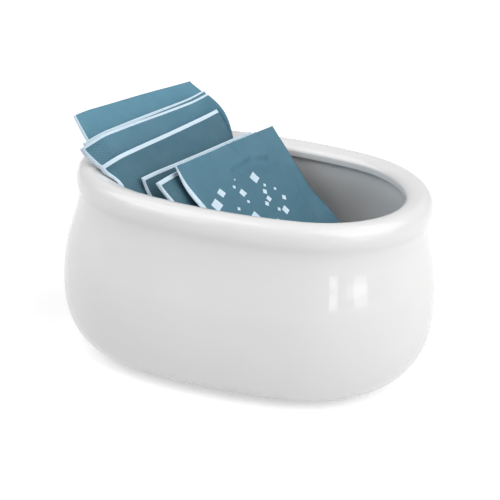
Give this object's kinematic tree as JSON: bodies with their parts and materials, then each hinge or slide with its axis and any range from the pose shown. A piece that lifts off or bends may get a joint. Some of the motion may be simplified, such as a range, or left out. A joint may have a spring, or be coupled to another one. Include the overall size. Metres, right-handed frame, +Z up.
{
  "type": "sugar packet holder",
  "caption": "Oval pot-bellied holder of white glazed porcelain with a rolled rim, holding loose paper packets of sugar that lean on one end and lift out",
  "frame": {"origin": "middle of the foot ring's underside, on the table", "axes": "X along the oval, towards the end where the packets' lower edges stand; Y across it, away from the picture's viewer; Z up"},
  "size_m": [0.108, 0.0786, 0.0685],
  "materials": {
    "glazed_porcelain": "clear gloss glaze over white porcelain, unglazed on the ring that stands on the table",
    "packet_paper": "matte printed paper, grey-blue with white cut edges",
    "sugar": "white granulated sugar"
  },
  "bodies": {
    "holder": {"holder_body": "glazed_porcelain"},
    "packet_1": {"packet_1_front_sheet": "packet_paper", "packet_1_back_sheet": "packet_paper", "packet_1_sugar": "sugar"},
    "packet_2": {"packet_2_front_sheet": "packet_paper", "packet_2_back_sheet": "packet_paper", "packet_2_sugar": "sugar"},
    "packet_3": {"packet_3_front_sheet": "packet_paper", "packet_3_back_sheet": "packet_paper", "packet_3_sugar": "sugar"},
    "packet_4": {"packet_4_front_sheet": "packet_paper", "packet_4_back_sheet": "packet_paper", "packet_4_sugar": "sugar"},
    "packet_5": {"packet_5_front_sheet": "packet_paper", "packet_5_back_sheet": "packet_paper", "packet_5_sugar": "sugar"},
    "packet_6": {"packet_6_front_sheet": "packet_paper", "packet_6_back_sheet": "packet_paper", "packet_6_sugar": "sugar"},
    "packet_7": {"packet_7_front_sheet": "packet_paper", "packet_7_back_sheet": "packet_paper", "packet_7_sugar": "sugar"}
  },
  "joints": [
    {"name": "packet_1_lift", "type": "slide", "parent": "holder", "child": "packet_1", "axis": [-0.6252, 0.2731, 0.7312], "range_m": [0, 0.062]},
    {"name": "packet_2_lift", "type": "slide", "parent": "holder", "child": "packet_2", "axis": [-0.652, 0.2106, 0.7283], "range_m": [0, 0.062]},
    {"name": "packet_3_lift", "type": "slide", "parent": "holder", "child": "packet_3", "axis": [-0.6468, 0.2235, 0.7292], "range_m": [0, 0.062]},
    {"name": "packet_4_lift", "type": "slide", "parent": "holder", "child": "packet_4", "axis": [-0.6647, 0.1782, 0.7256], "range_m": [0, 0.062]},
    {"name": "packet_5_lift", "type": "slide", "parent": "holder", "child": "packet_5", "axis": [-0.652, 0.2106, 0.7283], "range_m": [0, 0.062]},
    {"name": "packet_6_lift", "type": "slide", "parent": "holder", "child": "packet_6", "axis": [-0.6671, 0.153, 0.7291], "range_m": [0, 0.062]},
    {"name": "packet_7_lift", "type": "slide", "parent": "holder", "child": "packet_7", "axis": [-0.6519, 0.2012, 0.7311], "range_m": [0, 0.062]}
  ]
}
